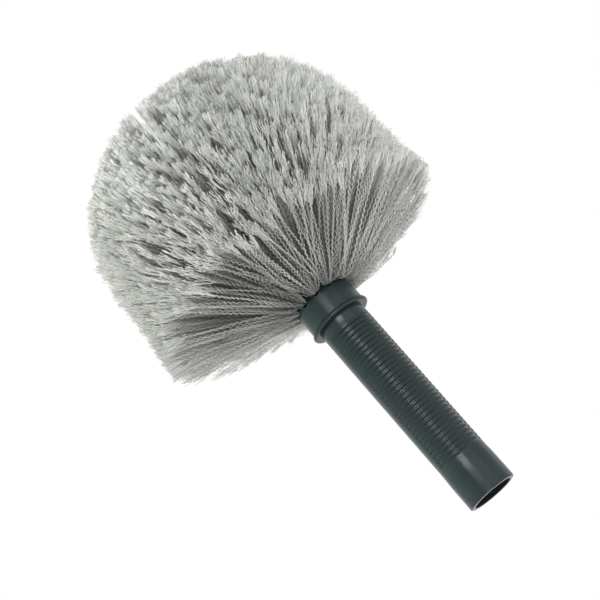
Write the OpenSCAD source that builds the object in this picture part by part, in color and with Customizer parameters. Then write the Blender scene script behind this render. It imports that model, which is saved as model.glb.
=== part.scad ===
// Cobweb brush: a domed head of crimped bristle tufts on a hollow ribbed grip
// that slides over the end of an extension pole.
// Millimetres. The mouth of the pole socket is at z = 0 and the dome points up.

/* [Grip tube] */
// Outside diameter of the smooth band at the mouth
mouth_od = 34; // [32:0.5:38]
// Outside diameter over the ribs
grip_od = 33.3; // [32:0.1:36]
// Length from the mouth to the seat of the brush head
grip_len = 145.2; // [110:0.1:200]
// Bore of the pole socket
socket_d = 27; // [22:0.5:28]
// Length of the thicker part of the mouth band
mouth_flat = 17; // [8:0.5:24]
// Length of the smooth band at the mouth, up to the first groove
mouth_band = 29; // [25:0.5:40]
// Length of the smooth band under the brush head
top_band = 7; // [3:0.1:15]
// Distance from one groove to the next
groove_pitch = 3.3; // [2.5:0.1:5]
// Width of a groove at the surface
groove_width = 2; // [1:0.1:2.2]
// Depth of a groove
groove_depth = 0.7; // [0.3:0.05:0.9]
// Width of the two smooth strips along the mould's parting line, in degrees
strip_width = 34; // [10:1:60]
// Where the first smooth strip lies around the tube, in degrees
strip_turn = 17; // [0:1:180]
// Chamfer of the mouth's outer edge
rim_outer = 1; // [0.4:0.1:1.4]
// Chamfer of the mouth's inner edge
rim_inner = 0.6; // [0.3:0.1:1.2]

/* [Brush head] */
// Diameter of the head's skirt
head_d = 40.5; // [38:0.5:44]
// Height of the skirt, from the end of the grip tube to the crown
skirt_len = 21.2; // [18:0.1:30]
// Diameter of the bead round the foot of the skirt
bead_d = 43.5; // [42:0.1:48]
// Height of the bead
bead_h = 2.8; // [2:0.1:5]
// Chamfer under the bead's rim
bead_edge = 1.2; // [0.4:0.1:1.4]
// Height of the bead's straight rim
bead_land = 0.5; // [0.2:0.1:0.6]
// Radius of the domed crown that holds the tufts
crown_r = 23; // [22.5:0.5:26]
// Length of the spigot inside the grip tube
spigot_len = 22; // [12:0.5:30]
// Step in the grip tube that the end of the spigot stands over
pocket_step = 1; // [0.6:0.1:1.3]
// Gap all round the spigot in its pocket
spigot_clearance = 0.1; // [0.05:0.05:0.2]
// Gap under the end of the spigot
spigot_end_gap = 0.3; // [0.1:0.1:0.5]
// Wall of the hollow spigot
spigot_wall = 4.5; // [2:0.1:6]
// Height of the hollow above the foot of the skirt
hollow_rise = 1.5; // [0:0.1:3]

/* [Tufts] */
// Tufts in the lowest ring
lower_count = 12; // [8:1:12]
// Tufts in the middle ring
middle_count = 10; // [6:1:10]
// Tufts in the upper ring, below the one tuft on the axis
upper_count = 6; // [4:1:6]
// Slope of the lowest ring's holes above level, in degrees
lower_slope = 27; // [25:0.5:27]
// Slope of the middle ring's holes above level, in degrees
middle_slope = 48; // [47.5:0.5:48.5]
// Slope of the upper ring's holes above level, in degrees
upper_slope = 69; // [68.5:0.5:69.5]
// Turn of the lowest ring about the axis, in degrees
lower_turn = 25.5; // [0:0.5:60]
// Turn of the middle ring about the axis, in degrees
middle_turn = 12; // [0:0.5:60]
// Turn of the upper ring about the axis, in degrees
upper_turn = 20; // [0:0.5:60]
// Diameter of a tuft hole
hole_d = 5.2; // [4:0.1:5.4]
// Depth of a tuft hole
hole_depth = 7.5; // [5:0.1:8]
// Gap all round the folded root of a tuft in its hole
root_clearance = 0.05; // [0.02:0.01:0.1]
// Thickness of the wire anchor that a tuft is folded over
anchor_t = 0.5; // [0.3:0.1:0.8]
// Width of the wire anchor, along the hole
anchor_w = 2.2; // [1:0.1:3]
// Gap between the anchor and what it lies in
anchor_gap = 0.05; // [0.02:0.01:0.1]

/* [Trimmed dome] */
// Radius of the dome at its lower edge
brim_r = 107; // [80:1:130]
// Height of the lower edge above the end of the grip tube
brim_rise = 43.3; // [35:0.1:60]
// Radius of the dome at its straightest
belly_r = 103.4; // [80:0.1:130]
// Height of that place above the end of the grip tube
belly_rise = 98; // [80:1:120]
// Height of the top of the dome above the end of the grip tube
dome_rise = 196; // [170:1:220]
// Squareness of the dome, where 2 is an ellipse
dome_power = 2.2; // [2:0.1:3]

/* [Strands] */
// Strands in each row of a tuft, from the lowest row up
row_counts = [3, 4, 4, 3]; // [2:1:4]
// Strands in the inner circle of the tuft on the axis, round its middle strand
inner_circle = 5; // [3:1:5]
// Strands in the outer circle of the tuft on the axis
outer_circle = 8; // [5:1:9]
// Width of the bunch of strands where it leaves its hole
bunch_w = 3.4; // [3:0.1:3.8]
// Radius of a strand at its root
strand_root_r = 0.34; // [0.2:0.02:0.4]
// Radius of a strand half way along
strand_mid_r = 1.4; // [0.6:0.1:1.6]
// Radius of the open, flagged end of a strand
strand_end_r = 5.6; // [2:0.1:6]
// Sideways swing of a strand half way along
strand_sway = 0.8; // [0:0.1:1.2]
// Bow of a strand out along its hole half way along, as a share of its length
strand_bow = 0.12; // [0:0.01:0.16]

/* [Hidden] */
// Segments of a full turn on the large rounds and on the tuft holes
fine = 96;
hole_fine = 32;
// Sides of a tuft's packed root
root_sides = 8;
// How far a cut runs past the surface that it opens
cut_past = 1;
// Least excess that counts as one more whole pitch
pitch_slack = 0.01;

ring_names = ["lower", "middle", "upper", "crown"];
ring_counts = [lower_count, middle_count, upper_count, 1];
ring_slopes = [lower_slope, middle_slope, upper_slope, 90];
ring_turns = [lower_turn, middle_turn, upper_turn, 0];
circle_counts = [1, inner_circle, outer_circle];
rings = len(ring_counts);

seat_z = grip_len;
socket_r = socket_d / 2;
pocket_r = socket_r + pocket_step;
pocket_z = seat_z - spigot_len - spigot_end_gap;
spigot_r = pocket_r - spigot_clearance;
hollow_r = spigot_r - spigot_wall;
groove_room = seat_z - top_band - mouth_band;
groove_total = floor(groove_room / groove_pitch + pitch_slack);

head_r = head_d / 2;
bead_r = bead_d / 2;
shoulder_z = seat_z + skirt_len;
crown_z = shoulder_z - sqrt(crown_r * crown_r - head_r * head_r);
hole_floor = crown_r - hole_depth;
root_r = hole_d / 2 - root_clearance;
slot_w = anchor_t + 2 * anchor_gap;

brim_z = seat_z + brim_rise;
belly_z = seat_z + belly_rise;
dome_z = seat_z + dome_rise;

tuft_total = total(ring_counts, rings);
// How far a strand runs down into the packed root
root_depth = 1;
// Where along a strand its middle section lies
mid_share = 0.5;
// Where the lowest row's tips lie in their share of the dome, in rows
lowest_row = 0.35;
// Turn of each strand's section from the last one's, in degrees
strand_roll = 47;
// Direction that no strand points in exactly
nearly_up = [0, 0.001, 1];

// Sum of the first n entries of a list
function total(list, n) = n <= 0 ? 0 : list[n - 1] + total(list, n - 1);

function tuft_name(ring, i) = str("tuft_", ring_names[ring], "_", i < 10 ? "0" : "", i);
function anchor_name(ring) = str("anchors_", ring_names[ring]);
function tuft_turn(ring, i) = ring_turns[ring] + (i - 1) * 360 / ring_counts[ring];

// Unit vectors of a tuft: along its hole, round the head, and up the head
function along(slope, turn) = [cos(slope) * cos(turn), cos(slope) * sin(turn), sin(slope)];
function around(turn) = [-sin(turn), cos(turn), 0];
function upward(slope, turn) = [-sin(slope) * cos(turn), -sin(slope) * sin(turn), cos(slope)];

// Radius of the trimmed dome at a height, below its belly and above it
function skirt_r(z) = belly_r + (brim_r - belly_r) * pow((belly_z - z) / (belly_z - brim_z), 2);
function top_r(z) =
    belly_r * pow(1 - pow((z - belly_z) / (dome_z - belly_z), dome_power), 1 / dome_power);
function dome_r(z) = z < belly_z ? skirt_r(z) : top_r(z);

// Point moved in or out to the surface of the trimmed dome
function trimmed(p) =
    let (r = norm([p[0], p[1]]), rise = p[2] - belly_z)
    rise < 0
        ? [p[0] * skirt_r(p[2]) / r, p[1] * skirt_r(p[2]) / r, p[2]]
        : let (
            reach = pow(r / belly_r, dome_power) + pow(rise / (dome_z - belly_z), dome_power),
            k = pow(reach, -1 / dome_power)
        )
        [p[0] * k, p[1] * k, belly_z + rise * k];

// Height that parts one ring's share of the dome from the next ring's
function share_z(ring) = brim_z + (dome_z - brim_z) * total(ring_counts, ring) / tuft_total;

function unit(v) = v / norm(v);

// Where each strand of a tuft leaves the hole and where it ends: [across, up, tip]
function ring_strands(ring, turn) = [
    for (row = [0 : len(row_counts) - 1])
    for (column = [0 : row_counts[row] - 1])
    let (
        rows = len(row_counts),
        across = (column + 0.5) / row_counts[row] - 0.5,
        up = (row + lowest_row) / rows,
        z = share_z(ring) + (share_z(ring + 1) - share_z(ring)) * up,
        tip_turn = turn + across * 360 / ring_counts[ring]
    )
    [
        across * bunch_w,
        (row + 0.5 - rows / 2) / rows * bunch_w,
        [dome_r(z) * cos(tip_turn), dome_r(z) * sin(tip_turn), z]
    ]
];
function crown_strands(ring) = [
    for (circle = [0 : len(circle_counts) - 1])
    for (i = [0 : circle_counts[circle] - 1])
    let (
        turn = (i + circle / 2) * 360 / circle_counts[circle],
        root_out = bunch_w / 2 * circle / (len(circle_counts) - 1),
        tip_out = dome_r(share_z(ring)) * circle / len(circle_counts)
    )
    [
        root_out * sin(turn),
        -root_out * cos(turn),
        trimmed([tip_out * cos(turn), tip_out * sin(turn), dome_z])
    ]
];

// Three corners of a strand round a point of its path
function corners(centre, side, top, r, roll) = [
    for (k = [0 : 2]) centre + r * (side * cos(roll + k * 120) + top * sin(roll + k * 120))
];

module grip_tube() {
    color("#3b4242")
    difference() {
        rotate_extrude($fn = fine)
        polygon([
            [socket_r + rim_inner, 0],
            [mouth_od / 2 - rim_outer, 0],
            [mouth_od / 2, rim_outer],
            [mouth_od / 2, mouth_flat],
            [grip_od / 2, mouth_band],
            [grip_od / 2, seat_z],
            [pocket_r, seat_z],
            [pocket_r, pocket_z],
            [socket_r, pocket_z],
            [socket_r, rim_inner]
        ]);
        for (side = [0, 180])
            rotate([0, 0, strip_turn + side + strip_width / 2])
                rotate_extrude(angle = 180 - strip_width, $fn = fine)
                    groove_comb();
    }
}

// Outline that cuts every groove of one half of the tube
module groove_comb() {
    outer = max(mouth_od, grip_od);
    deep = grip_od / 2 - groove_depth;
    polygon(concat(
        [[outer, mouth_band]],
        [for (i = [0 : groove_total - 1]) each
            let (z = mouth_band + (i + 0.5) * groove_pitch)
            [
                [grip_od / 2, z - groove_width / 2],
                [deep, z],
                [grip_od / 2, z + groove_width / 2]
            ]
        ],
        [[outer, mouth_band + groove_total * groove_pitch]]
    ));
}

module brush_head() {
    color("#3b4242")
    difference() {
        union() {
            rotate_extrude($fn = fine)
            polygon([
                [0, seat_z - spigot_len],
                [spigot_r, seat_z - spigot_len],
                [spigot_r, seat_z],
                [bead_r - bead_edge, seat_z],
                [bead_r, seat_z + bead_edge],
                [bead_r, seat_z + bead_edge + bead_land],
                [head_r, seat_z + bead_h],
                [head_r, shoulder_z],
                [0, shoulder_z]
            ]);
            intersection() {
                translate([0, 0, crown_z])
                    sphere(r = crown_r, $fn = fine);
                translate([0, 0, seat_z + bead_h])
                    cylinder(r = head_r, h = crown_r * 2, $fn = fine);
            }
        }
        translate([0, 0, seat_z - spigot_len - cut_past])
            cylinder(r = hollow_r, h = cut_past + spigot_len + hollow_rise, $fn = fine);
        for (ring = [0 : rings - 1])
            for (i = [1 : ring_counts[ring]])
                at_tuft(ring, i)
                    translate([0, 0, hole_floor])
                        cylinder(d = hole_d, h = crown_r, $fn = hole_fine);
    }
}

// Places what follows in the axes of a tuft's hole, measured from the centre of the crown
module at_tuft(ring, i) {
    translate([0, 0, crown_z])
        rotate([0, 90 - ring_slopes[ring], tuft_turn(ring, i)])
            children();
}

module tuft(ring, i) {
    slope = ring_slopes[ring];
    turn = tuft_turn(ring, i);
    strands = ring == rings - 1 ? crown_strands(ring) : ring_strands(ring, turn);
    color("#b8bab4") {
        at_tuft(ring, i)
            folded_root();
        for (k = [0 : len(strands) - 1])
            strand(strands[k], slope, turn, k);
    }
}

// The packed fold of a tuft in its hole, with the slot that its anchor lies in
module folded_root() {
    difference() {
        translate([0, 0, hole_floor])
            cylinder(r = root_r, h = hole_depth, $fn = root_sides);
        translate([-slot_w / 2, -hole_d, hole_floor - cut_past])
            cube([slot_w, 2 * hole_d, cut_past + anchor_w + anchor_gap]);
    }
}

// One strand: thin at the root, swaying a little, and open at its trimmed end
module strand(place, slope, turn, k) {
    u = along(slope, turn);
    foot = [0, 0, crown_z] + u * (crown_r - root_depth)
        + around(turn) * place[0] + upward(slope, turn) * place[1];
    tip = place[2];
    run = tip - foot;
    side = unit(cross(run, nearly_up));
    top = unit(cross(run, side));
    bow = u * norm(run) * strand_bow + side * strand_sway * (k % 2 == 0 ? 1 : -1);
    roll = k * strand_roll;
    points = concat(
        corners(foot, side, top, strand_root_r, roll),
        corners(foot + run * mid_share + bow, side, top, strand_mid_r, roll),
        [for (corner = corners(tip, side, top, strand_end_r, roll)) trimmed(corner)]
    );
    polyhedron(points, concat(
        [[0, 1, 2], [8, 7, 6]],
        [for (level = [0, 3]) each [for (c = [0 : 2]) each
            let (a = level + c, b = level + (c + 1) % 3)
            [[a, a + 3, b + 3], [a, b + 3, b]]
        ]]
    ));
}

// The wire anchors of one ring, each across the floor of its hole
module anchors(ring) {
    color("silver")
    for (i = [1 : ring_counts[ring]])
        at_tuft(ring, i)
            translate([-anchor_t / 2, -hole_d / 2 + anchor_gap, hole_floor])
                cube([anchor_t, hole_d - 2 * anchor_gap, anchor_w]);
}

grip_tube();
brush_head();
for (ring = [0 : rings - 1])
    for (i = [1 : ring_counts[ring]])
        tuft(ring, i);
for (ring = [0 : rings - 1])
    anchors(ring);
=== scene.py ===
import math

import bmesh
import bpy
from mathutils import Matrix, Vector


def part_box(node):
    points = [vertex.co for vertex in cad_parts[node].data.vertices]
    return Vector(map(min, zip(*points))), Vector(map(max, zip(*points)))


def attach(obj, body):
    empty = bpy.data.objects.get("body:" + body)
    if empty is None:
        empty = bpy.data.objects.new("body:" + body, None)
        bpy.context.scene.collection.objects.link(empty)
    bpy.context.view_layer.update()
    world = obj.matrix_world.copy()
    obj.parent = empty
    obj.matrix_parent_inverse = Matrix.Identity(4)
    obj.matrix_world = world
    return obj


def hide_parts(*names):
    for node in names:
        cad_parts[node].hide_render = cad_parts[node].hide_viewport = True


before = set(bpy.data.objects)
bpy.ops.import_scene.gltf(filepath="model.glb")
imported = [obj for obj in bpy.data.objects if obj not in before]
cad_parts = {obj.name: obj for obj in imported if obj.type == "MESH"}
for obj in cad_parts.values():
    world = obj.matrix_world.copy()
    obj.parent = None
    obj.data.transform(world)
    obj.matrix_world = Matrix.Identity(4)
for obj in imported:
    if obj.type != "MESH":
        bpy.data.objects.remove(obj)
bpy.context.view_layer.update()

# Cobweb brush: a domed head of crimped, flagged polyester tufts on a ribbed grip of dark
# polypropylene. The grip's mouth is at the origin and the dome points up +Z.

mm = 0.001

# Places that the frame gives

grip_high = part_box("grip_tube")[1]
head_low, head_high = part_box("brush_head")
mouth_r = grip_high.x
seat_z = grip_high.z
spigot_z = head_low.z
bead_r = head_high.x
crown_top = head_high.z

# Plastic

plastic_gloss = 0.26    # its specular level, low because the white studio shows all round

# Grip tube

grip_r = 16.65 * mm
socket_r = 13.5 * mm
pocket_r = 14.5 * mm
pocket_z = spigot_z - 0.3 * mm
mouth_flat = 17 * mm
mouth_band = 29 * mm
ease_steps = 6
rim_outer = 1 * mm
rim_inner = 0.6 * mm
rib_pitch = 3.3 * mm
rib_total = 33
groove_depth = 0.85 * mm
rows_in_pitch = 8
strip_turn = math.radians(17)
strip_width = math.radians(34)
groove_end = 0.4 * mm
grip_segments = 160

# Brush head

head_r = 20.25 * mm
bead_h = 2.8 * mm
bead_gap = 0.2 * mm
crown_r = 23 * mm
crown_z = crown_top - crown_r
spigot_r = 14.4 * mm
hollow_r = 9.9 * mm
hollow_top = seat_z + 1.5 * mm
hole_r = 2.6 * mm
hole_depth = 7.5 * mm
skirt_rows = 9
skirt_row = 1.7 * mm
head_segments = 128

# Tufts: name, number in the ring, slope of the holes and turn of the first tuft

rings = [
    ("lower", 12, math.radians(27), math.radians(25.5)),
    ("middle", 10, math.radians(48), math.radians(12)),
    ("upper", 6, math.radians(69), math.radians(20)),
    ("crown", 1, math.radians(90), 0.0),
]
tuft_total = sum(ring[1] for ring in rings)

# Trimmed dome, whose belly stands out a little more on the right

brim_r = 108 * mm
brim_z = seat_z + 43.3 * mm
belly_r = 103.4 * mm
right_belly = 1.5 * mm
belly_z = seat_z + 98 * mm
dome_z = seat_z + 196 * mm
dome_power = 2.2
shortest_trim = 0.985
longest_trim = 1.01
parting_x = -13 * mm
parting_half = 3.6 * mm
parting_low = 302 * mm
parting_high = 308 * mm

# Filaments, and the hairs that they split into

root_below = 1.5 * mm
bunch_r = 1.6 * hole_r
root_slim = 0.4
full_from = 0.3
held_length = 8 * mm
stem_end = 0.985
filament_bow = 0.06
filament_gloss = 0.25
crimp_faces = (0, 1, 0.3)
crimp_spread = 0.15
looseness = 1.3 * mm
wander_length = 38 * mm
wander_height = 1.0 * mm
hair_r = 0.21 * mm
hairs_each = 5
hair_points = 5
hair_crimp = 0.6
flag_length = 14 * mm
flag_width = 2.7 * mm
flag_opening = 0.7

# Clumps are laid out by steps that fill a rectangle evenly, shifted for each tuft, and jittered.
# Random draws are told apart by a salt, and tufts by a stride that is longer than any salt

column_step = 0.7549
row_step = 0.5698
seed_shift = 7.31
column_jitter = 0.06
row_jitter = 0.03
seed_stride = 31.0

# What a tuft takes, by its ring: its filaments, and how many times its share of the turn it
# spans. The lowest ring shows whole stems, each by itself and crimped to one pace, and the
# others show only their ends, in clumps

filaments = {"lower": 150, "middle": 252, "upper": 252, "crown": 420}
overlap = {"lower": 1.9, "middle": 1.2, "upper": 1.2, "crown": 1.0}
lowest_tuft = {
    "Clump": 1.0,
    "Clump width": 0.8 * mm,
    "Crimp height": 0.52 * mm,
    "Pace": 2.15 * mm,
    "Filament radius": 0.27 * mm,
    "Stem points": 40,
    "Straight share": 0.02,
    "Lowest share": 1.35,
    # The least weight of painted shade that every stem takes, standing for the dark deep in the brush
    "Inside": 0.0,
}
higher_tuft = {
    "Clump": 3.0,
    "Clump width": 3.2 * mm,
    "Crimp height": 0.45 * mm,
    "Pace": 0.0,
    "Filament radius": 0.25 * mm,
    "Stem points": 24,
    "Straight share": 0.62,
    "Lowest share": 1.0,
    "Inside": 0.2,
}

# How the lowest ring hangs: each tilt is added towards the right and taken off to the left

brim_drop = 0.5 * mm
brim_tilt = 3 * mm
brim_sag = 3 * mm
brim_sag_tilt = 7 * mm
hole_splay = 2.7 * mm
stray_drop = 9 * mm
stray_share = 0.015
near_scallop = 12 * mm
far_scallop = 2 * mm
near_side = -0.3

# Shares of a tuft's height between which filaments take on the full painted shade that stands for the dark
# deep in the brush, and at which they no longer sag or splay, and shares of a filament at which its splay
# is deepest and over

inner_from = 0.03
inner_by = 0.15
sag_by = 0.3
splay_by = 0.4
splay_deepest = 0.07
splay_over = 0.6

# Floor

floor_z = -1200 * mm
floor_half = 4000 * mm
paper_lift = 0.55


# Small helpers


def linear(hex_colour):
    """An sRGB hex colour as linear RGBA."""
    parts = [int(hex_colour[i:i + 2], 16) / 255 for i in (1, 3, 5)]
    return (*[p / 12.92 if p <= 0.04045 else ((p + 0.055) / 1.055) ** 2.4 for p in parts], 1)


def add(tree, kind, *feeds, named=None, **settings):
    """Adds a node with its settings, and sets or links its inputs, in order or by name."""
    made = tree.nodes.new(kind)
    for name, value in settings.items():
        setattr(made, name, value)
    sockets = [s for s in made.inputs if s.enabled]
    by_name = {s.name: s for s in sockets}
    pairs = list(zip(sockets, feeds)) + [(by_name[n], v) for n, v in (named or {}).items()]
    for socket, feed in pairs:
        if feed is None:
            continue
        if isinstance(feed, bpy.types.Node):
            feed = next(s for s in feed.outputs if s.enabled)
        if isinstance(feed, bpy.types.NodeSocket):
            tree.links.new(feed, socket)
        else:
            socket.default_value = feed
    return made


def new_tree(name, inputs):
    """A geometry tree with named inputs, its input node and its interface sockets by name."""
    tree = bpy.data.node_groups.new(name, "GeometryNodeTree")
    tree.interface.new_socket("Geometry", in_out="INPUT", socket_type="NodeSocketGeometry")
    tree.interface.new_socket("Geometry", in_out="OUTPUT", socket_type="NodeSocketGeometry")
    sockets = {}
    for label, kind, value in inputs:
        made = tree.interface.new_socket(label, in_out="INPUT", socket_type="NodeSocket" + kind)
        if value is not None:
            made.default_value = value
        sockets[label] = made.identifier
    return tree, tree.nodes.new("NodeGroupInput"), sockets


def grown(name, base, tree, values):
    """The base mesh put through a geometry tree, as a plain mesh object at the origin."""
    source = bpy.data.objects.new(name + "_base", base)
    bpy.context.collection.objects.link(source)
    modifier = source.modifiers.new("grow", "NODES")
    modifier.node_group = tree
    for identifier, value in values.items():
        modifier[identifier] = value
    evaluated = source.evaluated_get(bpy.context.evaluated_depsgraph_get())
    mesh = bpy.data.meshes.new_from_object(evaluated)
    source.modifiers.remove(modifier)
    bpy.data.objects.remove(source)
    mesh.name = name
    made = bpy.data.objects.new(name, mesh)
    bpy.context.collection.objects.link(made)
    return made


def arc(centre_r, centre_z, radius, start, end, steps):
    """Points of an arc in a profile, as (r, z), from one angle to another in degrees."""
    turns = [math.radians(start + (end - start) * i / steps) for i in range(steps + 1)]
    return [(centre_r + radius * math.cos(t), centre_z + radius * math.sin(t)) for t in turns]


def lathe(name, profile, segments):
    """A closed mesh turned about Z from a profile, which runs with the solid on its left."""
    bm = bmesh.new()
    rows = []
    for r, z in profile:
        if r == 0:
            rows.append([bm.verts.new((0, 0, z))])
            continue
        turns = [2 * math.pi * i / segments for i in range(segments)]
        rows.append([bm.verts.new((r * math.cos(t), r * math.sin(t), z)) for t in turns])
    closed = profile[0][0] != 0
    for k in range(len(rows) if closed else len(rows) - 1):
        low, high = rows[k], rows[(k + 1) % len(rows)]
        for i in range(segments):
            j = (i + 1) % segments
            corners = [low[i % len(low)], low[j % len(low)], high[j % len(high)], high[i % len(high)]]
            bm.faces.new(dict.fromkeys(corners))
    bmesh.ops.recalc_face_normals(bm, faces=bm.faces)
    mesh = bpy.data.meshes.new(name)
    bm.to_mesh(mesh)
    bm.free()
    return mesh


def smooth(obj, sharp_from=math.radians(40)):
    """Shades an object smoothly, but for edges sharper than an angle."""
    obj.data.shade_smooth()
    obj.data.set_sharp_from_angle(angle=sharp_from)
    return obj


# Materials


def new_material(name):
    """A material with nothing in it yet, and its node tree."""
    made = bpy.data.materials.new(name)
    made.use_nodes = True
    made.node_tree.nodes.clear()
    return made, made.node_tree


def moulded_polypropylene():
    """Dark polypropylene from a fine-spark-eroded mould: satin, with a faint grain and flow marks that
    shift its gloss a little from place to place. The bore, which a matt core shaped, is dull, and its
    colour is cut to a quarter there as painted shade for the deep, unlit socket."""
    material, tree = new_material("moulded_polypropylene")
    place = add(tree, "ShaderNodeTexCoord").outputs["Object"]
    grain = add(tree, "ShaderNodeTexNoise", place, named={"Scale": 1 / (0.6 * mm), "Detail": 3})
    flow = add(tree, "ShaderNodeTexNoise", place, named={"Scale": 1 / (14 * mm), "Detail": 4})
    colour = add(
        tree, "ShaderNodeMix", flow.outputs[0], data_type="RGBA",
        named={"A": linear("#182323"), "B": linear("#212C2C")},
    )
    gloss = add(tree, "ShaderNodeMapRange", flow.outputs[0], 0.3, 0.7, 0.17, 0.25)
    axes = add(tree, "ShaderNodeSeparateXYZ", place)
    across = add(tree, "ShaderNodeCombineXYZ", axes.outputs["X"], axes.outputs["Y"], 0.0)
    radius = add(tree, "ShaderNodeVectorMath", across, operation="LENGTH").outputs["Value"]
    outside = add(tree, "ShaderNodeMapRange", radius, socket_r + 0.1 * mm, socket_r + 0.6 * mm)
    dulled = add(tree, "ShaderNodeMix", outside, 0.9, gloss)
    # Painted shade: in the bore the colour is scaled down to a quarter, for the unlit depth of the socket
    painted_bore_shade = add(tree, "ShaderNodeMapRange", outside, 0.0, 1.0, 0.25, 1.0)
    colour = add(tree, "ShaderNodeVectorMath", colour, operation="SCALE", named={"Scale": painted_bore_shade})
    bump = add(
        tree, "ShaderNodeBump",
        named={"Strength": 0.25, "Distance": 0.05 * mm, "Height": grain.outputs[0]},
    )
    shader = add(
        tree, "ShaderNodeBsdfPrincipled",
        named={
            "Base Color": colour, "Roughness": dulled, "Normal": bump, "IOR": 1.49,
            "Specular IOR Level": plastic_gloss,
        },
    )
    add(tree, "ShaderNodeOutputMaterial", shader)
    return material


def polyester_filament():
    """Crimped grey polyester monofilament: a smooth stem, with painted shade towards its root and deep in
    the brush, and a lighter and duller end where it is split."""
    material, tree = new_material("polyester_filament")
    along = add(tree, "ShaderNodeAttribute", attribute_name="along").outputs["Fac"]
    shade = add(tree, "ShaderNodeAttribute", attribute_name="shade").outputs["Fac"]
    inner = add(tree, "ShaderNodeAttribute", attribute_name="inner").outputs["Fac"]
    tip = add(tree, "ShaderNodeMapRange", along, 0.8, 0.96, 0.0, 1.0, interpolation_type="SMOOTHSTEP")
    colour = add(
        tree, "ShaderNodeMix", tip, data_type="RGBA",
        named={"A": linear("#CFD1CC"), "B": linear("#E2E4DF")},
    )
    own = add(tree, "ShaderNodeMapRange", shade, 0.0, 1.0, 0.76, 1.02)
    # Painted shade: the stem is darkened near its root and, where it lies deep in the brush, along its
    # middle, and none of this reaches the split end
    painted_root_shade = add(tree, "ShaderNodeMapRange", along, 0.0, 0.3, 0.6, 1.0)
    deep = add(tree, "ShaderNodeMapRange", along, 0.5, 0.85, 0.32, 0.8)
    shade_in_brush = add(tree, "ShaderNodeMix", inner, 1.0, deep)
    stem = add(tree, "ShaderNodeMath", painted_root_shade, shade_in_brush, operation="MULTIPLY")
    light = add(tree, "ShaderNodeMix", tip, stem, 1.0)
    strength = add(tree, "ShaderNodeMath", light, own, operation="MULTIPLY")
    tinted = add(tree, "ShaderNodeVectorMath", colour, operation="SCALE", named={"Scale": strength})
    gloss = add(tree, "ShaderNodeMapRange", tip, 0.0, 1.0, 0.5, 0.7)
    shader = add(
        tree, "ShaderNodeBsdfPrincipled",
        named={"Base Color": tinted, "Roughness": gloss, "IOR": 1.57, "Specular IOR Level": filament_gloss},
    )
    add(tree, "ShaderNodeOutputMaterial", shader)
    return material


def flat_steel_wire():
    """Bright cold-rolled steel wire: drawn lines along it and a soft metal sheen."""
    material, tree = new_material("flat_steel_wire")
    place = add(tree, "ShaderNodeTexCoord").outputs["Object"]
    lines = add(tree, "ShaderNodeTexNoise", place, named={"Scale": 1 / (0.3 * mm), "Detail": 2})
    colour = add(
        tree, "ShaderNodeMix", lines.outputs[0], data_type="RGBA",
        named={"A": linear("#9A9B9C"), "B": linear("#C2C3C4")},
    )
    gloss = add(tree, "ShaderNodeMapRange", lines.outputs[0], 0.3, 0.7, 0.25, 0.4)
    shader = add(
        tree, "ShaderNodeBsdfPrincipled",
        named={"Base Color": colour, "Roughness": gloss, "Metallic": 1.0},
    )
    add(tree, "ShaderNodeOutputMaterial", shader)
    return material


def seen_rays(tree):
    """1 for the rays with which the camera, a glossy surface or glass sees the backdrop."""
    path = add(tree, "ShaderNodeLightPath")
    in_gloss = add(
        tree, "ShaderNodeMath", path.outputs["Is Glossy Ray"], path.outputs["Is Transmission Ray"],
    )
    return add(tree, "ShaderNodeMath", path.outputs["Is Camera Ray"], in_gloss, use_clamp=True)


def backdrop_paper():
    """Matt white backdrop paper, smooth and without gloss, and pale although its light is low."""
    material, tree = new_material("backdrop_paper")
    place = add(tree, "ShaderNodeTexCoord").outputs["Object"]
    fibres = add(tree, "ShaderNodeTexNoise", place, named={"Scale": 1 / (2 * mm), "Detail": 2})
    colour = add(
        tree, "ShaderNodeMix", fibres.outputs[0], data_type="RGBA",
        named={"A": linear("#EDEDEB"), "B": linear("#F2F2F0")},
    )
    lifted = add(tree, "ShaderNodeMath", seen_rays(tree), paper_lift, operation="MULTIPLY")
    shader = add(
        tree, "ShaderNodeBsdfPrincipled",
        named={
            "Base Color": colour, "Roughness": 0.9,
            "Emission Color": linear("#FFFFFF"), "Emission Strength": lifted,
        },
    )
    add(tree, "ShaderNodeOutputMaterial", shader)
    return material


# Grip tube


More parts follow.
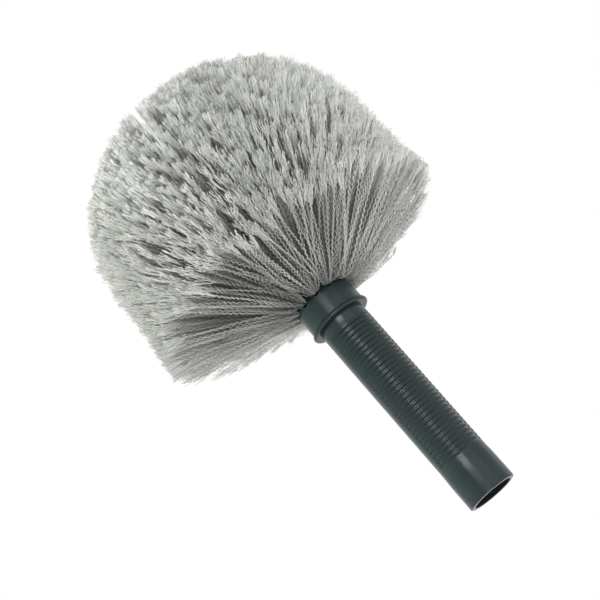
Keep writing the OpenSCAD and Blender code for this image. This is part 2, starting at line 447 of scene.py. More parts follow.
def rib_tree(material):
    """Cuts the grooves into a plain tube: a wave along Z that stops at the two smooth strips."""
    tree, given, _ = new_tree("grip_ribs", [
        ("First groove", "Float", mouth_band),
        ("Last groove", "Float", mouth_band + rib_total * rib_pitch),
        ("Pitch", "Float", rib_pitch),
        ("Depth", "Float", groove_depth),
        ("Strip turn", "Float", strip_turn),
        ("Strip width", "Float", strip_width),
        ("Groove end", "Float", groove_end / grip_r),
        ("Skin", "Float", (pocket_r + grip_r) / 2),
    ])
    place = add(tree, "GeometryNodeInputPosition")
    axes = add(tree, "ShaderNodeSeparateXYZ", place)
    out = add(tree, "ShaderNodeCombineXYZ", axes.outputs["X"], axes.outputs["Y"], 0.0)
    radius = add(tree, "ShaderNodeVectorMath", out, operation="LENGTH").outputs["Value"]
    outward = add(tree, "ShaderNodeVectorMath", out, operation="NORMALIZE")

    height = add(
        tree, "ShaderNodeMath", axes.outputs["Z"], given.outputs["First groove"], operation="SUBTRACT",
    )
    pitches = add(tree, "ShaderNodeMath", height, given.outputs["Pitch"], operation="DIVIDE")
    swing = add(tree, "ShaderNodeMath", pitches, 2 * math.pi, operation="MULTIPLY")
    wave = add(tree, "ShaderNodeMath", swing, operation="COSINE")
    groove = add(tree, "ShaderNodeMapRange", wave, 1.0, -1.0, 0.0, 1.0)

    turn = add(tree, "ShaderNodeMath", axes.outputs["Y"], axes.outputs["X"], operation="ARCTAN2")
    from_strip = add(tree, "ShaderNodeMath", turn, given.outputs["Strip turn"], operation="SUBTRACT")
    half_turn = add(tree, "ShaderNodeMath", from_strip, math.pi / 2, -math.pi / 2, operation="WRAP")
    away = add(tree, "ShaderNodeMath", half_turn, operation="ABSOLUTE")
    strip_edge = add(tree, "ShaderNodeMath", given.outputs["Strip width"], 2.0, operation="DIVIDE")
    strip_end = add(tree, "ShaderNodeMath", strip_edge, given.outputs["Groove end"], operation="ADD")
    ribbed = add(
        tree, "ShaderNodeMapRange", away, strip_edge, strip_end, 0.0, 1.0, interpolation_type="SMOOTHSTEP",
    )

    above = add(
        tree, "ShaderNodeMath", axes.outputs["Z"], given.outputs["First groove"],
        operation="GREATER_THAN",
    )
    below = add(
        tree, "ShaderNodeMath", axes.outputs["Z"], given.outputs["Last groove"], operation="LESS_THAN",
    )
    banded = add(tree, "ShaderNodeMath", above, below, operation="MULTIPLY")
    skin = add(tree, "ShaderNodeMath", radius, given.outputs["Skin"], operation="GREATER_THAN")
    chosen = add(tree, "ShaderNodeMath", banded, skin, operation="MULTIPLY")

    depth = add(tree, "ShaderNodeMath", groove, given.outputs["Depth"], operation="MULTIPLY")
    masked = add(tree, "ShaderNodeMath", depth, ribbed, operation="MULTIPLY")
    inward = add(tree, "ShaderNodeMath", masked, -1.0, operation="MULTIPLY")
    shift = add(tree, "ShaderNodeVectorMath", outward, operation="SCALE", named={"Scale": inward})
    cut = add(tree, "GeometryNodeSetPosition", given.outputs["Geometry"], chosen, None, shift)
    real = add(tree, "GeometryNodeRealizeInstances", cut)
    painted = add(tree, "GeometryNodeSetMaterial", real, named={"Material": material})
    add(tree, "NodeGroupOutput", painted)
    return tree


def grip_tube(material):
    """The hollow grip, from its rounded mouth up to the pocket that holds the head."""
    ease = [
        (grip_r + (mouth_r - grip_r) * (0.5 + 0.5 * math.cos(math.pi * i / ease_steps)),
         mouth_flat + (mouth_band - mouth_flat) * i / ease_steps)
        for i in range(ease_steps + 1)
    ]
    rows = rib_total * rows_in_pitch
    ribs = [(grip_r, mouth_band + rib_pitch * i / rows_in_pitch) for i in range(1, rows + 1)]
    profile = (
        arc(socket_r + rim_inner, rim_inner, rim_inner, 180, 270, 5)
        + arc(mouth_r - rim_outer, rim_outer, rim_outer, 270, 360, 8)
        + ease + ribs
        + [(grip_r, seat_z), (pocket_r, seat_z), (pocket_r, pocket_z), (socket_r, pocket_z)]
    )
    plain = lathe("grip_tube", profile, grip_segments)
    piece = smooth(grown("grip_tube_moulding", plain, rib_tree(material), {}))
    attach(piece, "root")
    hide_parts("grip_tube")


# Brush head


def drill_tree(material):
    """Drills the tuft holes into the crown, ring by ring, each hole square to the crown."""
    tree, given, _ = new_tree("tuft_holes", [
        ("Crown height", "Float", crown_z),
        ("Crown radius", "Float", crown_r),
        ("Hole radius", "Float", hole_r),
        ("Hole depth", "Float", hole_depth),
    ])
    reach = add(tree, "ShaderNodeMath", given.outputs["Hole depth"], 2.0, operation="MULTIPLY")
    drill = add(
        tree, "GeometryNodeMeshCylinder",
        named={"Vertices": 32, "Radius": given.outputs["Hole radius"], "Depth": reach},
    )
    join = tree.nodes.new("GeometryNodeJoinGeometry")
    for name, count, slope, turn in rings:
        level = add(
            tree, "ShaderNodeMath", given.outputs["Crown radius"], math.cos(slope),
            operation="MULTIPLY",
        )
        rise = add(
            tree, "ShaderNodeMath", given.outputs["Crown radius"], math.sin(slope),
            operation="MULTIPLY",
        )
        step = add(tree, "GeometryNodeInputIndex")
        angle = add(tree, "ShaderNodeMath", step, 2 * math.pi / count, turn, operation="MULTIPLY_ADD")
        flat = add(tree, "ShaderNodeCombineXYZ", level, 0.0, rise)
        spun = add(tree, "ShaderNodeVectorRotate", flat, named={"Angle": angle}, rotation_type="Z_AXIS")
        ring = add(tree, "GeometryNodePoints", count, spun)
        facing = add(
            tree, "FunctionNodeAlignRotationToVector", None, 1.0,
            add(tree, "GeometryNodeInputPosition"), axis="Z",
        )
        holes = add(
            tree, "GeometryNodeInstanceOnPoints",
            named={"Points": ring, "Instance": drill, "Rotation": facing},
        )
        tree.links.new(holes.outputs[0], join.inputs[0])
    lifted = add(tree, "ShaderNodeCombineXYZ", 0.0, 0.0, given.outputs["Crown height"])
    raised = add(tree, "GeometryNodeTransform", join, named={"Translation": lifted})
    cutters = add(tree, "GeometryNodeRealizeInstances", raised)
    bored = add(
        tree, "GeometryNodeMeshBoolean", operation="DIFFERENCE", solver="EXACT",
        named={"Mesh 1": given.outputs["Geometry"], "Mesh 2": cutters},
    )
    real = add(tree, "GeometryNodeRealizeInstances", bored)
    painted = add(tree, "GeometryNodeSetMaterial", real, named={"Material": material})
    add(tree, "NodeGroupOutput", painted)
    return tree


def brush_head(material):
    """The solid head: hollow spigot, rounded bead, skirt and domed crown with its holes."""
    bead_round = bead_h / 2
    shoulder = math.degrees(math.acos(head_r / crown_r))
    profile = (
        [(0, hollow_top), (hollow_r, hollow_top), (hollow_r, spigot_z)]
        + [(spigot_r, spigot_z), (spigot_r, seat_z)]
        + arc(bead_r - bead_round, seat_z + bead_round, bead_round, 270, 430, 14)
        + [(head_r, seat_z + bead_h + bead_gap + skirt_row * i) for i in range(skirt_rows)]
        + arc(0, crown_z, crown_r, shoulder, 89, 20)
        + [(0, crown_top)]
    )
    plain = lathe("brush_head", profile, head_segments)
    piece = smooth(grown("brush_head_moulding", plain, drill_tree(material), {}))
    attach(piece, "root")
    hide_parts("brush_head")


# Tufts


def chance(tree, given, salt, low, high, kind="FLOAT", own=None):
    """A random value for each filament, hair or crest that reads it or, where own is the clump,
    for each clump."""
    salted = add(tree, "ShaderNodeMath", given.outputs["Seed"], seed_stride, salt, operation="MULTIPLY_ADD")
    return add(tree, "FunctionNodeRandomValue", low, high, own, salted, data_type=kind)


def stored(tree, points, values):
    """The points with values stored on them, each as a name, a kind and what it holds."""
    for name, kind, value in values:
        points = add(
            tree, "GeometryNodeStoreNamedAttribute", points, None, name, value, data_type=kind,
            domain="POINT",
        )
    return points


def kept(tree, name, kind="FLOAT"):
    """A stored value, read back along the filament."""
    return add(tree, "GeometryNodeInputNamedAttribute", name, data_type=kind)


def dome_places(tree, given, clump):
    """Where each clump ends on the trimmed dome, and how high that is in its tuft's share."""
    # Spread evenly over the share, with a jitter
    shifted = add(
        tree, "ShaderNodeMath", given.outputs["Seed"], seed_shift, clump, operation="MULTIPLY_ADD",
    )
    columns = add(tree, "ShaderNodeMath", shifted, column_step, operation="MULTIPLY")
    column = add(tree, "ShaderNodeMath", columns, operation="FRACT")
    rows = add(tree, "ShaderNodeMath", shifted, row_step, operation="MULTIPLY")
    row = add(tree, "ShaderNodeMath", rows, operation="FRACT")
    centred = chance(tree, given, 1, -0.5 - column_jitter, -0.5 + column_jitter, own=clump)
    across = add(tree, "ShaderNodeMath", column, centred, operation="ADD")
    raised = add(tree, "ShaderNodeMath", row, given.outputs["Lowest share"], operation="POWER")
    off_row = chance(tree, given, 2, -row_jitter, row_jitter, own=clump)
    up = add(tree, "ShaderNodeMath", raised, off_row, operation="ADD", use_clamp=True)

    # A few filaments stray lower than the rest
    drawn = chance(tree, given, 13, 0.0, 1.0)
    stray = add(tree, "ShaderNodeMath", drawn, 1 - stray_share, operation="GREATER_THAN")
    low = add(
        tree, "ShaderNodeMath", stray, given.outputs["Stray drop"], given.outputs["Low"],
        operation="MULTIPLY_ADD",
    )
    level = add(tree, "ShaderNodeMapRange", up, 0.0, 1.0, low, given.outputs["High"])

    # A folded tuft opens into two fans, so its lower edge is a pair of scallops
    in_pair = add(tree, "ShaderNodeMath", across, 2.0, operation="MULTIPLY")
    in_fan = add(tree, "ShaderNodeMath", in_pair, 0.5, -0.5, operation="WRAP")
    off_fan = add(tree, "ShaderNodeMath", in_fan, 2.0, operation="MULTIPLY")
    scallop = add(tree, "ShaderNodeMath", off_fan, 2.0, operation="POWER")
    still_low = add(tree, "ShaderNodeMath", 1.0, up, operation="SUBTRACT")
    edge = add(tree, "ShaderNodeMath", scallop, still_low, operation="MULTIPLY")
    height = add(tree, "ShaderNodeMath", edge, given.outputs["Scallop"], level, operation="MULTIPLY_ADD")

    # The dome's radius at that height: a superellipse above the belly, and a flare below it
    rise = add(
        tree, "ShaderNodeMapRange", height, given.outputs["Belly height"], given.outputs["Dome height"],
        0.0, 1.0, clamp=False,
    )
    above = add(tree, "ShaderNodeMath", rise, 0.0, operation="MAXIMUM")
    curved = add(tree, "ShaderNodeMath", above, given.outputs["Dome power"], operation="POWER")
    left = add(tree, "ShaderNodeMath", 1.0, curved, operation="SUBTRACT", use_clamp=True)
    inverse = add(tree, "ShaderNodeMath", 1.0, given.outputs["Dome power"], operation="DIVIDE")
    rounded = add(tree, "ShaderNodeMath", left, inverse, operation="POWER")
    below = add(tree, "ShaderNodeMath", rise, 0.0, operation="MINIMUM")
    squared = add(tree, "ShaderNodeMath", below, 2.0, operation="POWER")
    flared = add(tree, "ShaderNodeMath", squared, given.outputs["Brim flare"], operation="MULTIPLY")
    radius = add(
        tree, "ShaderNodeMath", rounded, given.outputs["Belly radius"], flared,
        operation="MULTIPLY_ADD",
    )

    angle = add(
        tree, "ShaderNodeMath", across, given.outputs["Width"], given.outputs["Turn"],
        operation="MULTIPLY_ADD",
    )
    on_plane = add(tree, "ShaderNodeCombineXYZ", radius, 0.0, height)
    on_dome = add(tree, "ShaderNodeVectorRotate", on_plane, named={"Angle": angle}, rotation_type="Z_AXIS")
    return on_dome, up


def parted(tree, given, end):
    """The ends, stood aside from the plane of the parting that the trimmed top shows."""
    axes = add(tree, "ShaderNodeSeparateXYZ", end)
    off = add(
        tree, "ShaderNodeMath", axes.outputs["X"], given.outputs["Parting place"], operation="SUBTRACT",
    )
    away = add(tree, "ShaderNodeMath", off, operation="ABSOLUTE")
    reach = add(tree, "ShaderNodeMath", given.outputs["Parting width"], 3.0, operation="MULTIPLY")
    push = add(tree, "ShaderNodeMapRange", away, 0.0, reach, given.outputs["Parting width"], 0.0)
    side = add(tree, "ShaderNodeMath", off, operation="SIGN")
    aside = add(tree, "ShaderNodeMath", push, side, operation="MULTIPLY")
    near_top = add(
        tree, "ShaderNodeMapRange", axes.outputs["Z"], given.outputs["Parting low"],
        given.outputs["Parting high"], 0.0, 1.0,
    )
    shift = add(tree, "ShaderNodeMath", aside, near_top, operation="MULTIPLY")
    stand_aside = add(tree, "ShaderNodeCombineXYZ", shift, 0.0, 0.0)
    return add(tree, "ShaderNodeVectorMath", end, stand_aside, operation="ADD")


def planned_filaments(tree, given):
    """One point for each filament, which carries where it starts and ends and how it lies."""
    index = add(tree, "GeometryNodeInputIndex")
    crowd = add(tree, "ShaderNodeMath", index, given.outputs["Clump"], operation="DIVIDE")
    clump = add(tree, "ShaderNodeMath", crowd, operation="FLOOR")
    on_dome, up = dome_places(tree, given, clump)

    # It starts in the hole, on the side that it leans to
    hole = given.outputs["Hole"]
    outward = add(tree, "ShaderNodeVectorMath", hole, given.outputs["Crown centre"], operation="SUBTRACT")
    hole_axis = add(tree, "ShaderNodeVectorMath", outward, operation="NORMALIZE")
    reach = add(tree, "ShaderNodeVectorMath", on_dome, hole, operation="SUBTRACT")
    aim = add(tree, "ShaderNodeVectorMath", reach, operation="NORMALIZE")
    straight = add(tree, "ShaderNodeVectorMath", aim, hole_axis, operation="PROJECT")
    lean = add(tree, "ShaderNodeVectorMath", aim, straight, operation="SUBTRACT")
    offset = add(
        tree, "ShaderNodeVectorMath", lean, operation="SCALE", named={"Scale": given.outputs["Bunch"]},
    )
    start = add(tree, "ShaderNodeVectorMath", hole, offset, operation="ADD")

    # It ends where its clump does, which is trimmed a little unevenly
    trim = chance(tree, given, 3, shortest_trim, longest_trim, own=clump)
    trimmed = add(tree, "ShaderNodeVectorMath", reach, operation="SCALE", named={"Scale": trim})
    clump_end = add(tree, "ShaderNodeVectorMath", hole, trimmed, operation="ADD")
    in_clump = chance(tree, given, 4, (-1, -1, -1), (1, 1, 1), "FLOAT_VECTOR")
    lengthwise = add(tree, "ShaderNodeVectorMath", in_clump, reach, operation="PROJECT")
    level = add(tree, "ShaderNodeVectorMath", in_clump, lengthwise, operation="SUBTRACT")
    spread = add(
        tree, "ShaderNodeVectorMath", level, operation="SCALE",
        named={"Scale": given.outputs["Clump width"]},
    )
    end = add(tree, "ShaderNodeVectorMath", clump_end, spread, operation="ADD")
    end = parted(tree, given, end)

    # It is crimped in a plane near its clump's, and lies loose beside the others
    run = add(tree, "ShaderNodeVectorMath", end, start, operation="SUBTRACT")
    widest = (crimp_spread,) * 3
    narrowest = (-crimp_spread,) * 3
    wild = chance(tree, given, 5, narrowest, widest, "FLOAT_VECTOR", own=clump)
    crimp_plane = add(tree, "ShaderNodeVectorMath", wild, crimp_faces, operation="ADD")
    crosswise = add(tree, "ShaderNodeVectorMath", run, crimp_plane, operation="CROSS_PRODUCT")
    side = add(tree, "ShaderNodeVectorMath", crosswise, operation="NORMALIZE")
    loose_way = chance(tree, given, 6, (-1, -1, -1), (1, 1, 1), "FLOAT_VECTOR")
    ahead = add(tree, "ShaderNodeVectorMath", loose_way, run, operation="PROJECT")
    aside = add(tree, "ShaderNodeVectorMath", loose_way, ahead, operation="SUBTRACT")
    loose = add(
        tree, "ShaderNodeVectorMath", aside, operation="SCALE",
        named={"Scale": given.outputs["Looseness"]},
    )

    # Its end is split from here on
    length = add(tree, "ShaderNodeVectorMath", run, operation="LENGTH").outputs["Value"]
    flag_share = add(tree, "ShaderNodeMath", given.outputs["Flag length"], length, operation="DIVIDE")
    own_flag = add(
        tree, "ShaderNodeMath", flag_share, chance(tree, given, 7, 0.7, 1.3), operation="MULTIPLY",
    )
    flag_start = add(tree, "ShaderNodeMath", 1.0, own_flag, operation="SUBTRACT")

    # Deeper in the brush its stem takes painted shade, and at the brim it sags, or drops over the hole's
    # edge
    higher = add(tree, "ShaderNodeMapRange", up, inner_from, inner_by, 0.0, 1.0)
    inner = add(tree, "ShaderNodeMath", higher, given.outputs["Inside"], operation="MAXIMUM")
    sag = add(tree, "ShaderNodeMapRange", up, 0.0, sag_by, given.outputs["Sag"], 0.0)
    most = add(tree, "ShaderNodeMapRange", up, 0.0, splay_by, given.outputs["Splay"], 0.0)
    splay = add(tree, "ShaderNodeMath", chance(tree, given, 14, 0.3, 1.0), most, operation="MULTIPLY")

    return stored(tree, add(tree, "GeometryNodePoints", given.outputs["Filaments"]), [
        ("start", "FLOAT_VECTOR", start), ("end", "FLOAT_VECTOR", end), ("side", "FLOAT_VECTOR", side),
        ("axis", "FLOAT_VECTOR", hole_axis), ("loose", "FLOAT_VECTOR", loose),
        ("phase", "FLOAT", chance(tree, given, 8, 0.0, 6.28)), ("flag", "FLOAT", flag_start),
        ("shade", "FLOAT", chance(tree, given, 9, 0.0, 1.0, own=clump)), ("inner", "FLOAT", inner),
        ("sag", "FLOAT", sag), ("splay", "FLOAT", splay),
    ])


def filament_lines(tree, given, points):
    """A line for each filament's stem, whose first point is at the root, and one for each hair."""
    # Only a root has less than the lead, which is a little under one step of the stem
    stem_steps = add(tree, "ShaderNodeMath", given.outputs["Stem points"], 1.0, operation="SUBTRACT")
    first_step = add(tree, "ShaderNodeMath", 0.99, stem_steps, operation="DIVIDE")
    stems = stored(tree, points, [
        ("lead", "FLOAT", first_step), ("from", "FLOAT", given.outputs["Straight share"]),
        ("to", "FLOAT", stem_end), ("flare", "FLOAT_VECTOR", (0, 0, 0)),
        ("thick", "FLOAT", given.outputs["Filament radius"]), ("wavy", "FLOAT", 1.0),
        ("pace", "FLOAT", given.outputs["Pace"]),
    ])
    hairs = add(tree, "GeometryNodeDuplicateElements", points, None, given.outputs["Hairs"], domain="POINT")
    flare_way = chance(tree, given, 10, (-1, -1, -1), (1, 1, 1), "FLOAT_VECTOR")
    flare = add(
        tree, "ShaderNodeVectorMath", flare_way, operation="SCALE",
        named={"Scale": given.outputs["Flag width"]},
    )
    hairs = stored(tree, hairs, [
        ("lead", "FLOAT", 0.0), ("from", "FLOAT", kept(tree, "flag")),
        ("to", "FLOAT", chance(tree, given, 11, 0.99, 1.0)), ("flare", "FLOAT_VECTOR", flare),
        ("thick", "FLOAT", given.outputs["Hair radius"]), ("wavy", "FLOAT", hair_crimp),
        ("pace", "FLOAT", 0.0),
    ])
    line = add(tree, "GeometryNodeCurvePrimitiveLine", None, (0, 0, mm))
    join = tree.nodes.new("GeometryNodeJoinGeometry")
    for strands, count in [(stems, given.outputs["Stem points"]), (hairs, given.outputs["Hair points"])]:
        cut = add(tree, "GeometryNodeResampleCurve", line, None, count)
        copies = add(tree, "GeometryNodeInstanceOnPoints", named={"Points": strands, "Instance": cut})
        tree.links.new(copies.outputs[0], join.inputs[0])
    return add(tree, "GeometryNodeRealizeInstances", join)


def shares_along(tree, spline, whole_length):
    """How far along its filament each point is, from 0 to 1, and 0 only for a root."""
    factor = spline.outputs["Factor"]
    by_share = add(
        tree, "ShaderNodeMapRange", factor, kept(tree, "lead"), 1.0, kept(tree, "from"), kept(tree, "to"),
        clamp=False,
    )

    # A stem with a pace has a point at each crest of its crimp, so crests lie side by side, and
    # its last point at its end
    paces = add(tree, "ShaderNodeMath", spline.outputs["Index"], 1.0, operation="SUBTRACT")
    walked = add(tree, "ShaderNodeMath", paces, kept(tree, "pace"), operation="MULTIPLY")
    walked_share = add(tree, "ShaderNodeMath", walked, whole_length, operation="DIVIDE")
    by_pace = add(tree, "ShaderNodeMath", walked_share, kept(tree, "from"), operation="ADD")
    paced = add(tree, "ShaderNodeMath", kept(tree, "pace"), 0.0, operation="GREATER_THAN")
    not_last = add(tree, "ShaderNodeMath", factor, 0.995, operation="LESS_THAN")
    use_pace = add(tree, "ShaderNodeMath", paced, not_last, operation="MULTIPLY")
    past_root = add(tree, "ShaderNodeMix", use_pace, by_share, by_pace)
    at_root = add(tree, "ShaderNodeMath", factor, kept(tree, "lead"), operation="LESS_THAN")
    off_root = add(tree, "ShaderNodeMath", 1.0, at_root, operation="SUBTRACT")
    return add(tree, "ShaderNodeMath", past_root, off_root, operation="MULTIPLY"), off_root


def filament_course(tree, given):
    """Where each point of a stem or hair lies, and how far along its filament it is."""
    start = kept(tree, "start", "FLOAT_VECTOR")
    end = kept(tree, "end", "FLOAT_VECTOR")
    side = kept(tree, "side", "FLOAT_VECTOR")
    spline = add(tree, "GeometryNodeSplineParameter")
    whole = add(tree, "ShaderNodeVectorMath", end, start, operation="SUBTRACT")
    whole_length = add(tree, "ShaderNodeVectorMath", whole, operation="LENGTH").outputs["Value"]
    along, off_root = shares_along(tree, spline, whole_length)

    # Bowed along the hole's axis at first, and sagging at the brim
    halfway = add(tree, "ShaderNodeVectorMath", whole, operation="SCALE", named={"Scale": 0.5})
    straight_middle = add(tree, "ShaderNodeVectorMath", start, halfway, operation="ADD")
    bow = add(tree, "ShaderNodeMath", whole_length, given.outputs["Bow"], operation="MULTIPLY")
    pull = add(
        tree, "ShaderNodeVectorMath", kept(tree, "axis", "FLOAT_VECTOR"), operation="SCALE",
        named={"Scale": bow},
    )
    bowed = add(tree, "ShaderNodeVectorMath", straight_middle, pull, operation="ADD")
    lower = add(tree, "ShaderNodeMath", kept(tree, "sag"), -1.0, operation="MULTIPLY")
    droop = add(tree, "ShaderNodeCombineXYZ", 0.0, 0.0, lower)
    middle = add(tree, "ShaderNodeVectorMath", bowed, droop, operation="ADD")
    early = add(tree, "ShaderNodeMix", along, start, middle, data_type="VECTOR", clamp_factor=False)
    late = add(tree, "ShaderNodeMix", along, middle, end, data_type="VECTOR", clamp_factor=False)
    path = add(tree, "ShaderNodeMix", along, early, late, data_type="VECTOR", clamp_factor=False)

    # Dropped over the edge of its hole, and gathered again further out
    splayed = add(
        tree, "ShaderNodeMapRange", along, 0.0, splay_deepest, 0.0, kept(tree, "splay"),
        interpolation_type="SMOOTHSTEP",
    )
    gathered = add(
        tree, "ShaderNodeMapRange", along, splay_deepest, splay_over, -1.0, 0.0,
        interpolation_type="SMOOTHSTEP",
    )
    dropped = add(tree, "ShaderNodeMath", splayed, gathered, operation="MULTIPLY")
    over_edge = add(tree, "ShaderNodeCombineXYZ", 0.0, 0.0, dropped)
    path = add(tree, "ShaderNodeVectorMath", path, over_edge, operation="ADD")

    # Loose in its clump, and wandering a little
    half_turn = add(tree, "ShaderNodeMath", along, math.pi, operation="MULTIPLY")
    fullness = add(tree, "ShaderNodeMath", half_turn, operation="SINE")
    loose = kept(tree, "loose", "FLOAT_VECTOR")
    out_of_clump = add(tree, "ShaderNodeVectorMath", loose, operation="SCALE", named={"Scale": fullness})
    path = add(tree, "ShaderNodeVectorMath", path, out_of_clump, operation="ADD")
    travelled = add(tree, "ShaderNodeMath", along, whole_length, operation="MULTIPLY")
    free = add(tree, "ShaderNodeMapRange", travelled, 0.0, held_length, 0.0, 1.0)
    swings = add(tree, "ShaderNodeMath", travelled, given.outputs["Wander length"], operation="DIVIDE")
    swing = add(tree, "ShaderNodeMath", swings, 2 * math.pi, kept(tree, "phase"), operation="MULTIPLY_ADD")
    swung = add(tree, "ShaderNodeMath", swing, operation="SINE")
    sway = add(tree, "ShaderNodeMath", swung, free, operation="MULTIPLY")
    sway_size = add(tree, "ShaderNodeMath", sway, given.outputs["Wander height"], operation="MULTIPLY")
    wander_run = add(tree, "ShaderNodeVectorMath", side, whole, operation="CROSS_PRODUCT")
    wander_way = add(tree, "ShaderNodeVectorMath", wander_run, operation="NORMALIZE")
    wander = add(tree, "ShaderNodeVectorMath", wander_way, operation="SCALE", named={"Scale": sway_size})
    path = add(tree, "ShaderNodeVectorMath", path, wander, operation="ADD")

    # Crimped: each point is a crest, to one side and then the other
    odd = add(tree, "ShaderNodeMath", spline.outputs["Index"], 2.0, operation="MODULO")
    crest = add(tree, "ShaderNodeMapRange", odd, 0.0, 1.0, -1.0, 1.0)
    tall = add(tree, "ShaderNodeMath", crest, chance(tree, given, 12, 0.75, 1.15), operation="MULTIPLY")
    let_go = add(tree, "ShaderNodeMath", free, off_root, operation="MULTIPLY")
    eased = add(tree, "ShaderNodeMath", tall, let_go, operation="MULTIPLY")
    high = add(tree, "ShaderNodeMath", eased, given.outputs["Crimp height"], operation="MULTIPLY")
    high = add(tree, "ShaderNodeMath", high, kept(tree, "wavy"), operation="MULTIPLY")
    crimp = add(tree, "ShaderNodeVectorMath", side, operation="SCALE", named={"Scale": high})
    path = add(tree, "ShaderNodeVectorMath", path, crimp, operation="ADD")

    # Opened out at its end, where it is a hair
    opened = add(tree, "ShaderNodeMath", spline.outputs["Factor"], flag_opening, operation="POWER")
    flare = kept(tree, "flare", "FLOAT_VECTOR")
    open_out = add(tree, "ShaderNodeVectorMath", flare, operation="SCALE", named={"Scale": opened})
    endwise = add(tree, "ShaderNodeVectorMath", open_out, whole, operation="PROJECT")
    aside = add(tree, "ShaderNodeVectorMath", open_out, endwise, operation="SUBTRACT")
    return add(tree, "ShaderNodeVectorMath", path, aside, operation="ADD"), along


def tuft_tree(material):
    """Grows one tuft: crimped filaments fan out of their hole to the trimmed dome, a few to a
    clump, and each one's end is split into finer hairs."""
    tree, given, sockets = new_tree("tuft", [
        ("Filaments", "Int", 100),
        ("Clump", "Float", 1.0),
        ("Seed", "Int", 1),
        ("Hole", "Vector", None),
        ("Turn", "Float", 0.0),
        ("Width", "Float", 1.0),
        ("Low", "Float", brim_z),
        ("High", "Float", dome_z),
        ("Lowest share", "Float", 1.0),
        ("Scallop", "Float", 0.0),
        ("Inside", "Float", 1.0),
        ("Stem points", "Int", 60),
        ("Straight share", "Float", 0.0),
        ("Crown centre", "Vector", (0, 0, crown_z)),
        ("Belly radius", "Float", belly_r),
        ("Belly height", "Float", belly_z),
        ("Dome height", "Float", dome_z),
        ("Dome power", "Float", dome_power),
        ("Brim flare", "Float", 0.0),
        ("Bunch", "Float", bunch_r),
        ("Bow", "Float", filament_bow),
        ("Sag", "Float", 0.0),
        ("Stray drop", "Float", 0.0),
        ("Splay", "Float", 0.0),
        ("Pace", "Float", 0.0),
        ("Filament radius", "Float", hair_r),
        ("Hair radius", "Float", hair_r),
        ("Hairs", "Int", hairs_each),
        ("Hair points", "Int", hair_points),
        ("Crimp height", "Float", 0.0),
        ("Looseness", "Float", looseness),
        ("Wander length", "Float", wander_length),
        ("Wander height", "Float", wander_height),
        ("Clump width", "Float", 0.0),
        ("Flag length", "Float", flag_length),
        ("Flag width", "Float", flag_width),
        ("Parting place", "Float", parting_x),
        ("Parting width", "Float", parting_half),
        ("Parting low", "Float", parting_low),
        ("Parting high", "Float", parting_high),
    ])
    points = planned_filaments(tree, given)
    lines = filament_lines(tree, given, points)
    place, along = filament_course(tree, given)
    lines = stored(tree, lines, [("along", "FLOAT", along)])
    laid = add(tree, "GeometryNodeSetPosition", lines, None, place)

    # Thin at its root, where many share a hole
    slim = add(tree, "ShaderNodeMapRange", along, 0.0, full_from, root_slim, 1.0)
    thick = add(tree, "ShaderNodeMath", kept(tree, "thick"), slim, operation="MULTIPLY")
    section = add(tree, "GeometryNodeCurvePrimitiveCircle", named={"Resolution": 3, "Radius": 1.0})
    tubes = add(tree, "GeometryNodeCurveToMesh", laid, section, thick, True)
    for name in [
        "start", "end", "side", "axis", "loose", "phase", "flag", "lead", "from", "to", "flare",
        "thick", "sag", "splay", "wavy", "pace",
    ]:
        tubes = add(tree, "GeometryNodeRemoveAttribute", tubes, named={"Name": name})
    soft = add(tree, "GeometryNodeSetShadeSmooth", tubes)
    real = add(tree, "GeometryNodeRealizeInstances", soft)
    painted = add(tree, "GeometryNodeSetMaterial", real, named={"Material": material})
    add(tree, "NodeGroupOutput", painted)
    return tree, sockets


def brim_flare(side_r):
    """How far the dome flares below its belly, so that its brim has the same radius all round."""
    return (brim_r - side_r) * ((dome_z - belly_z) / (belly_z - brim_z)) ** 2


def hung(out):
    """How a tuft of the lowest ring hangs, by the way that it faces: lower and slacker to the
    right, and in deep scallops on the near side."""
    return {
        "Low": brim_z - (brim_drop + brim_tilt * out.x),
        "Scallop": near_scallop if out.y < near_side else far_scallop,
        "Sag": brim_sag + brim_sag_tilt * out.x,
        "Splay": hole_splay * (1 + out.x),
        "Stray drop": -stray_drop if out.x > 0 else 0.0,
    }


def tufts(material):
    """Every tuft of every ring, each grown by itself and set in its own hole."""
    tree, sockets = tuft_tree(material)
    empty = bpy.data.meshes.new("tuft_seed")
    set_so_far = 0
    for name, count, slope, turn in rings:
        low = brim_z + (dome_z - brim_z) * set_so_far / tuft_total
        high = brim_z + (dome_z - brim_z) * (set_so_far + count) / tuft_total
        for i in range(count):
            facing = turn + i * 2 * math.pi / count
            flat = math.cos(slope)
            out = Vector((flat * math.cos(facing), flat * math.sin(facing), math.sin(slope)))
            side_r = belly_r + right_belly * max(out.x, 0)
            values = {
                "Seed": set_so_far + i + 1,
                "Hole": Vector((0, 0, crown_z)) + out * (crown_r - root_below),
                "Turn": facing,
                "Width": 2 * math.pi / count * overlap[name],
                "Low": low,
                "High": high,
                "Belly radius": side_r,
                "Brim flare": brim_flare(side_r),
                **(lowest_tuft if name == "lower" else higher_tuft),
                **(hung(out) if name == "lower" else {}),
                "Filaments": filaments[name],
            }
            node = f"tuft_{name}_{i + 1:02d}"
            by_socket = {sockets[label]: value for label, value in values.items()}
            piece = grown(f"{node}_filaments", empty, tree, by_socket)
            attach(piece, "root")
            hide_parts(node)
        set_so_far += count


# Stage, light and camera


def floor():
    """A pale floor below the part, out of the photographed view."""
    bm = bmesh.new()
    bmesh.ops.create_grid(bm, x_segments=1, y_segments=1, size=floor_half)
    mesh = bpy.data.meshes.new("floor")
    bm.to_mesh(mesh)
    bm.free()
    mesh.transform(Matrix.Translation((0, 0, floor_z)))
    mesh.materials.append(backdrop_paper())
    made = bpy.data.objects.new("floor", mesh)
    bpy.context.collection.objects.link(made)


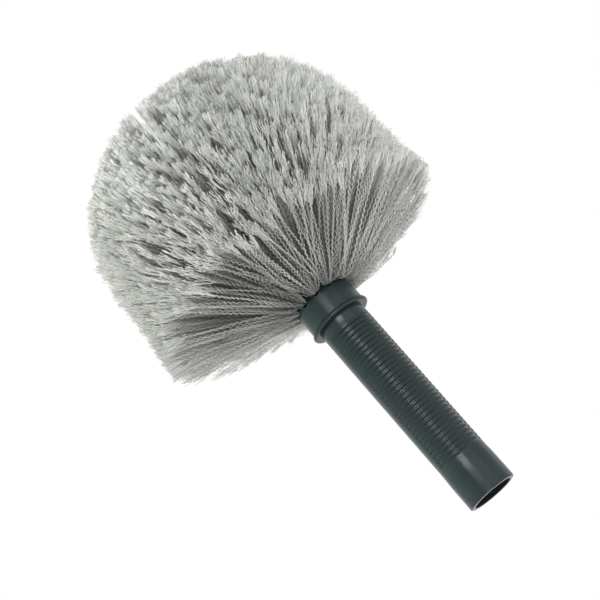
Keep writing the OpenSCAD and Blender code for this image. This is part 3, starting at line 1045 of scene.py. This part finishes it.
def world_light(shown, given_out):
    """White where the camera or a glossy surface sees it, and a softer white for lighting."""
    world = bpy.data.worlds.new("studio")
    world.use_nodes = True
    tree = world.node_tree
    tree.nodes.clear()
    strength = add(tree, "ShaderNodeMapRange", seen_rays(tree), 0.0, 1.0, given_out, shown)
    background = add(tree, "ShaderNodeBackground", (1, 1, 1, 1), strength)
    add(tree, "ShaderNodeOutputWorld", background)
    bpy.context.scene.world = world


def softbox(name, place, aim, width, height, power, mirrored=True):
    """An oblong soft light that looks at a point, with its width kept level. One that isn't
    mirrored lights the part without showing in its gloss."""
    data = bpy.data.lights.new(name, "AREA")
    data.shape = "RECTANGLE"
    data.size = width
    data.size_y = height
    data.energy = power
    made = bpy.data.objects.new(name, data)
    made.location = place
    made.rotation_mode = "QUATERNION"
    made.rotation_quaternion = (Vector(aim) - Vector(place)).to_track_quat("-Z", "Y")
    made.visible_glossy = mirrored
    bpy.context.collection.objects.link(made)


def camera():
    """The photograph's view: from the front and a little below, with the brush leaning left."""
    rise = math.radians(18.63)
    lean = math.radians(41.02)
    aim = Vector((-11.4, -5.5, 172.7)) * mm
    distance = 900 * mm
    ahead = Vector((0, math.cos(rise), math.sin(rise)))
    level = Vector((0, -math.sin(rise), math.cos(rise)))
    right = Vector((math.cos(lean), 0, 0)) - level * math.sin(lean)
    up = Vector((math.sin(lean), 0, 0)) + level * math.cos(lean)
    data = bpy.data.cameras.new("photograph")
    data.lens = 84
    data.sensor_width = 36
    made = bpy.data.objects.new("photograph", data)
    turned = Matrix((right, up, -ahead)).transposed().to_4x4()
    made.matrix_world = Matrix.Translation(aim - ahead * distance) @ turned
    bpy.context.collection.objects.link(made)
    bpy.context.scene.camera = made


plastic = moulded_polypropylene()
grip_tube(plastic)
brush_head(plastic)
tufts(polyester_filament())

wire = flat_steel_wire()
for name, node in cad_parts.items():
    if name.startswith("anchors"):
        node.data.materials.clear()
        node.data.materials.append(wire)

floor()
world_light(shown=1.0, given_out=0.21)

# Lights: name, place, aim, width and height in metres, and power in watts

softbox("front_panel", (0.5, -1.4, 0.35), (0, 0, 0.12), 2.2, 0.8, 4.5)
softbox("front_strip", (-0.03, -1.3, 0.4), (0, 0, 0.12), 0.6, 0.15, 4.5)
softbox("front_low", (-0.1, -1.2, -0.75), (0, 0, 0.1), 0.6, 0.3, 8)
softbox("right", (1.3, -0.35, 0.1), (0, 0, 0.22), 1.4, 1.0, 16, mirrored=False)
softbox("right_edge", (1.1, 0.6, 0.3), (0, 0, 0.12), 0.5, 0.8, 0.5)
softbox("left", (-1.4, 0.05, 0.5), (0, 0, 0.25), 1.2, 0.9, 44, mirrored=False)
softbox("above", (0.7, -0.3, 1.1), (0, 0, 0.25), 0.9, 0.9, 4, mirrored=False)
softbox("behind", (0.5, 1.4, 0.4), (0, 0, 0.22), 1.2, 0.9, 16, mirrored=False)

camera()

view = bpy.context.scene.view_settings
view.view_transform = "Standard"
